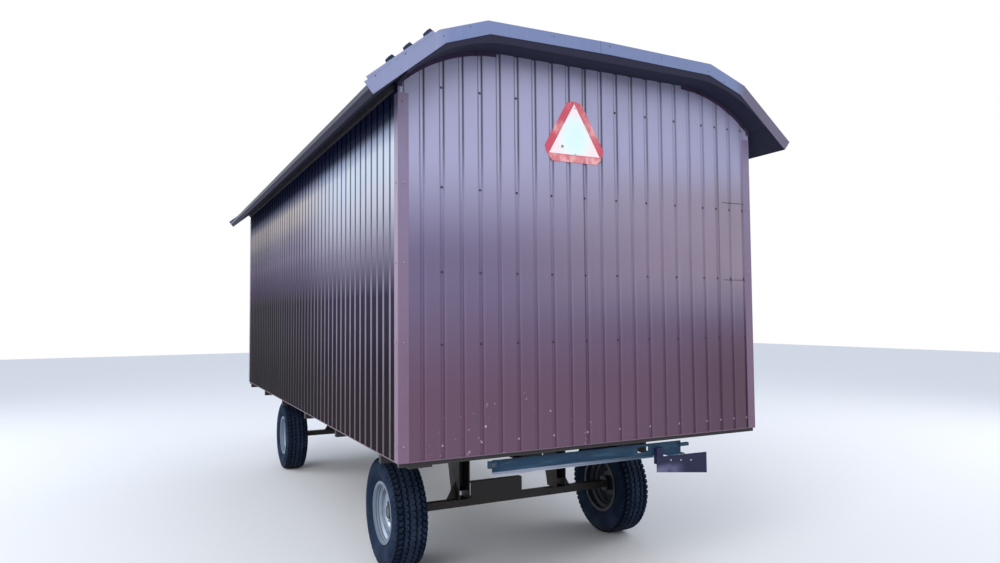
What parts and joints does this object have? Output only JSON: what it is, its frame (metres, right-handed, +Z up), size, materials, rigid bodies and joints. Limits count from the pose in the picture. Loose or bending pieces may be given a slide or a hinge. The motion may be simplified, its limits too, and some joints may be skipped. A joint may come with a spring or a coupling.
{
  "type": "towed timber hut on a two-axle wagon",
  "caption": "Long timber hut on a steel wagon, clad in ribbed sheet under a faceted roof with overhangs; the wheels turn on their spindles.",
  "frame": {"origin": "on the ground under the middle of the whole length, drawbar included, between the wheels", "axes": "+X to the hut's right, +Y forward along the drawbar, +Z up"},
  "size_m": [2.953, 7.0016, 3.2852],
  "materials": {
    "chassis_paint": "worn black-brown paint",
    "handle_metal": "dark grey paint",
    "bar_paint": "weathered blue-grey paint",
    "plate_paint": "dark plum paint",
    "tyre_rubber": "worn block tread",
    "rim_silver": "silver paint",
    "timber": "sawn boards",
    "soffit_timber": "dark stained boards",
    "brown_timber": "brown stained strip",
    "brown_sheet": "satin maroon brown coating",
    "brown_trim": "satin maroon brown coating",
    "roof_steel": "satin maroon brown coating",
    "triangle_red": "retroreflective red",
    "triangle_white": "faded fluorescent film"
  },
  "bodies": {
    "hut": {"chassis_rails": "chassis_paint", "cross_members": "chassis_paint", "rear_bar": "bar_paint", "tail_plate": "plate_paint", "rear_axle": "chassis_paint", "rear_legs": "chassis_paint", "front_axle": "chassis_paint", "front_legs": "chassis_paint", "front_subframe": "chassis_paint", "turntable": "chassis_paint", "drawbar": "chassis_paint", "floor": "timber", "rear_wall": "timber", "front_wall": "timber", "left_wall": "timber", "right_wall": "timber", "rear_cladding": "brown_sheet", "front_cladding": "brown_sheet", "left_cladding": "brown_sheet", "right_cladding": "brown_sheet", "corner_trims_rear": "brown_trim", "corner_trims_front": "brown_trim", "gable_strip_rear": "brown_timber", "gable_strip_front": "brown_timber", "eave_batten_left": "timber", "eave_batten_right": "timber", "roof_deck": "soffit_timber", "roof_sheet": "roof_steel", "verge_rear": "brown_trim", "verge_front": "brown_trim", "eave_left": "brown_trim", "eave_right": "brown_trim", "door_leaf": "brown_sheet", "door_frame": "brown_trim", "door_handle": "handle_metal", "triangle_border_piece": "triangle_red", "triangle_centre": "triangle_white"},
    "wheel_rear_left": {"tyre_rear_left": "tyre_rubber", "rim_rear_left": "rim_silver"},
    "wheel_rear_right": {"tyre_rear_right": "tyre_rubber", "rim_rear_right": "rim_silver"},
    "wheel_front_left": {"tyre_front_left": "tyre_rubber", "rim_front_left": "rim_silver"},
    "wheel_front_right": {"tyre_front_right": "tyre_rubber", "rim_front_right": "rim_silver"}
  },
  "joints": [
    {"name": "wheel_rear_left_spin", "type": "hinge", "parent": "hut", "child": "wheel_rear_left", "pos_m": [-0.878, -2.18925, 0.3665], "axis": [1, 0, 0], "continuous": true},
    {"name": "wheel_rear_right_spin", "type": "hinge", "parent": "hut", "child": "wheel_rear_right", "pos_m": [0.878, -2.18925, 0.3665], "axis": [1, 0, 0], "continuous": true},
    {"name": "wheel_front_left_spin", "type": "hinge", "parent": "hut", "child": "wheel_front_left", "pos_m": [-0.878, 1.45075, 0.3665], "axis": [1, 0, 0], "continuous": true},
    {"name": "wheel_front_right_spin", "type": "hinge", "parent": "hut", "child": "wheel_front_right", "pos_m": [0.878, 1.45075, 0.3665], "axis": [1, 0, 0], "continuous": true}
  ]
}
